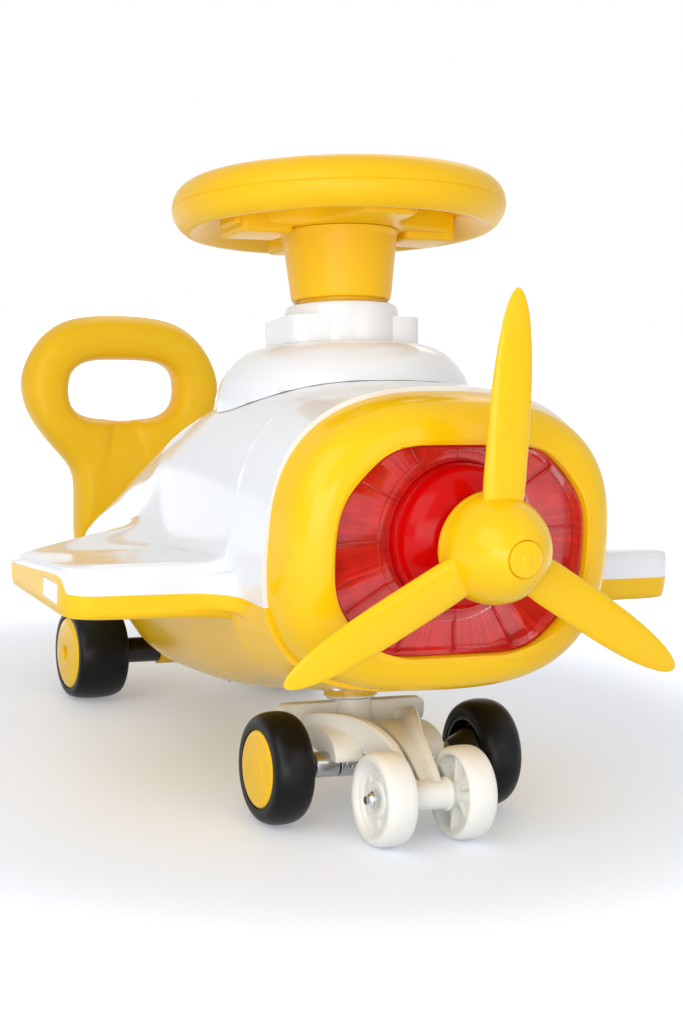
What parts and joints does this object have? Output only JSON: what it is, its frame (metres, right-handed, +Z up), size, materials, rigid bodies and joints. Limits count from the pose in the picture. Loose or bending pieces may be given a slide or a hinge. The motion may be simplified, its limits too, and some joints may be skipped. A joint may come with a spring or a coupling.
{
  "type": "ride-on swing car",
  "caption": "Aeroplane-shaped ride-on swing car: hollow fuselage with wings, free propeller, steering wheel that turns a caster with rollers, rear wheels and grip handle.",
  "frame": {"origin": "on the floor, half way along the length and in the plane of symmetry", "axes": "+X forward to the propeller, +Y to the rider's left, +Z up"},
  "size_m": [0.8055, 0.4868, 0.4718],
  "materials": {
    "gloss_white": "glossy moulded",
    "gloss_yellow": "glossy moulded",
    "satin_yellow": "satin blow-moulded",
    "lens_red": "clear red, ribbed inside",
    "dome_red": "opaque glossy",
    "ivory": "satin moulded",
    "tyre_black": "satin",
    "hub_black": "satin moulded",
    "steel": "zinc plated",
    "chrome": "plated"
  },
  "bodies": {
    "car": {"upper_shell": "gloss_white", "lower_shell": "gloss_yellow", "nose_cowl": "gloss_yellow", "column_cover": "gloss_white", "lens": "lens_red", "reflector": "gloss_white", "hub_dome": "dome_red", "handle": "satin_yellow", "wing_markers": "gloss_white", "upper_bush": "ivory", "lower_bush": "ivory", "rear_axle": "steel", "rear_push_nuts": "steel", "rear_sleeves": "hub_black", "prop_shaft": "steel", "propeller_screw": "steel", "shell_screws": "steel", "handle_screws": "steel", "cowl_screws": "steel"},
    "steering": {"rim_top": "satin_yellow", "rim_bottom": "satin_yellow", "steering_neck": "satin_yellow", "wheel_cap": "satin_yellow", "steering_shaft": "steel", "shaft_nut": "steel", "front_carrier": "ivory", "front_axle": "steel", "front_push_nuts": "steel", "axle_clamps": "steel", "clamp_screws": "steel", "roller_bolt": "steel", "roller_nuts": "chrome"},
    "front_wheel_left": {"front_tyre_left": "tyre_black", "front_hub_left": "hub_black", "front_cap_left": "gloss_yellow"},
    "front_wheel_right": {"front_tyre_right": "tyre_black", "front_hub_right": "hub_black", "front_cap_right": "gloss_yellow"},
    "rear_wheel_left": {"rear_tyre_left": "tyre_black", "rear_hub_left": "hub_black", "rear_cap_left": "gloss_yellow"},
    "rear_wheel_right": {"rear_tyre_right": "tyre_black", "rear_hub_right": "hub_black", "rear_cap_right": "gloss_yellow"},
    "front_roller_left": {"roller_left": "ivory"},
    "front_roller_right": {"roller_right": "ivory"},
    "propeller": {"propeller": "gloss_yellow", "propeller_ring": "gloss_yellow", "nose_plug": "gloss_yellow"}
  },
  "joints": [
    {"name": "steering", "type": "hinge", "parent": "car", "child": "steering", "pos_m": [0.178, 0, 0], "axis": [-0.1822, 0, 0.9833], "continuous": true},
    {"name": "front_axle_left", "type": "hinge", "parent": "steering", "child": "front_wheel_left", "pos_m": [0.22, 0.083, 0.04], "axis": [0, 1, 0], "continuous": true},
    {"name": "front_axle_right", "type": "hinge", "parent": "steering", "child": "front_wheel_right", "pos_m": [0.22, -0.083, 0.04], "axis": [0, 1, 0], "continuous": true},
    {"name": "roller_axle_left", "type": "hinge", "parent": "steering", "child": "front_roller_left", "pos_m": [0.287, 0.031, 0.033], "axis": [0, 1, 0], "continuous": true},
    {"name": "roller_axle_right", "type": "hinge", "parent": "steering", "child": "front_roller_right", "pos_m": [0.287, -0.031, 0.033], "axis": [0, 1, 0], "continuous": true},
    {"name": "rear_axle_left", "type": "hinge", "parent": "car", "child": "rear_wheel_left", "pos_m": [-0.155, 0.094, 0.04], "axis": [0, 1, 0], "continuous": true},
    {"name": "rear_axle_right", "type": "hinge", "parent": "car", "child": "rear_wheel_right", "pos_m": [-0.155, -0.094, 0.04], "axis": [0, 1, 0], "continuous": true},
    {"name": "propeller_shaft", "type": "hinge", "parent": "car", "child": "propeller", "pos_m": [0.37, 0, 0.22], "axis": [1, 0, 0], "continuous": true}
  ]
}
